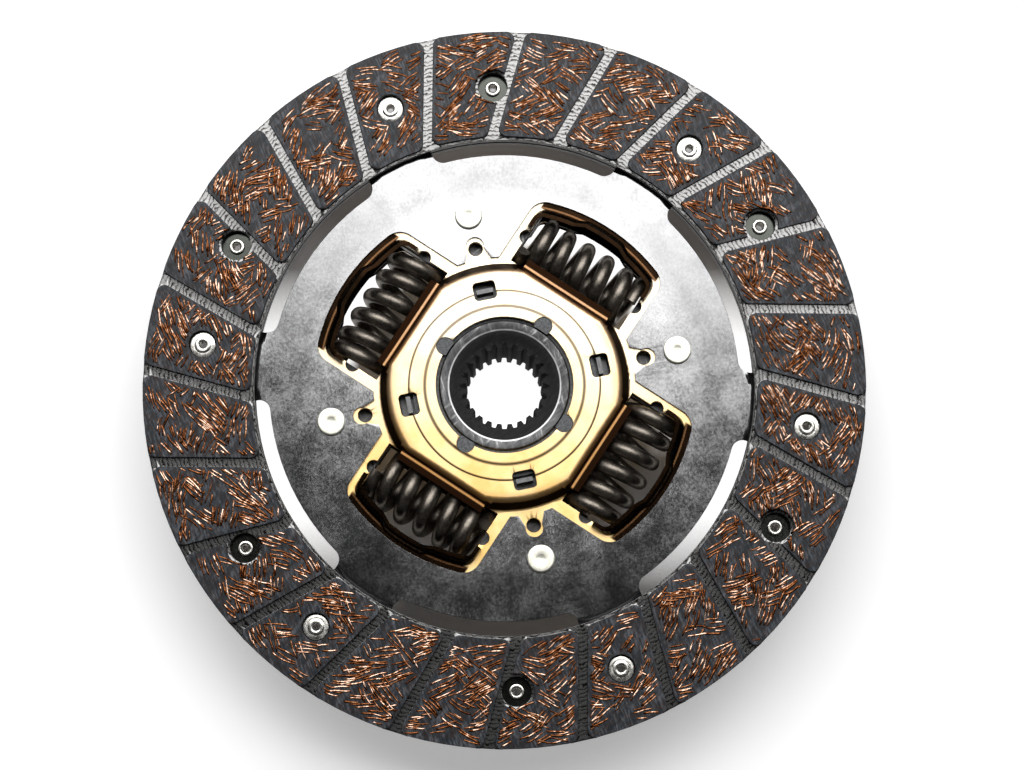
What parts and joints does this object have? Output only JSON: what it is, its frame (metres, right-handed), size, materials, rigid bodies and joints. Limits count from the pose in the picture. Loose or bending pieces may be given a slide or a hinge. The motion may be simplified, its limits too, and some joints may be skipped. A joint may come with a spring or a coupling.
{
  "type": "clutch disc",
  "caption": "Dry friction clutch disc with slanted-groove facings, a coil-sprung splined hub and stop pins.",
  "frame": {"origin": "on the disc's axis, at the hub's rear end, which it stands on", "axes": "+Z along the axis, out of the side with the raised dome; +X and +Y as in the view from that side"},
  "size_m": [0.215, 0.215, 0.0342],
  "materials": {
    "facing": "wound yarn friction lining with brass wire",
    "rivet_steel": "bright",
    "plate_steel": "satin, mottled",
    "gold_steel": "yellow passivated",
    "pin_steel": "bright, faint yellow",
    "spring_steel": "oil blackened",
    "friction_ring": "matte",
    "bush": "moulded, matte",
    "hub_steel": "machined faces, dark bore"
  },
  "bodies": {
    "disc": {"facing_front": "facing", "facing_rear": "facing", "facing_rivets_front": "rivet_steel", "facing_rivets_rear": "rivet_steel", "disc_plate": "plate_steel", "front_retainer": "gold_steel", "rear_retainer": "gold_steel", "stop_pin_1": "pin_steel", "stop_pin_2": "pin_steel", "stop_pin_3": "pin_steel", "stop_pin_4": "pin_steel", "damper_spring_1": "spring_steel", "damper_spring_2": "spring_steel", "damper_spring_3": "spring_steel", "damper_spring_4": "spring_steel", "thrust_plate": "plate_steel", "wave_washer": "plate_steel", "friction_washer_front": "friction_ring", "friction_washer_rear": "friction_ring", "hub_bush_front": "bush", "hub_bush_rear": "bush"},
    "hub": {"hub": "hub_steel"}
  },
  "joints": [
    {"name": "damper_turn", "type": "hinge", "parent": "disc", "child": "hub", "pos_m": [0, 0, 0], "axis": [0, 0, 1], "range_deg": [-8, 8], "stiffness_Nm_per_rad": 1740, "deforming": ["damper_spring_1", "damper_spring_2", "damper_spring_3", "damper_spring_4"]}
  ]
}
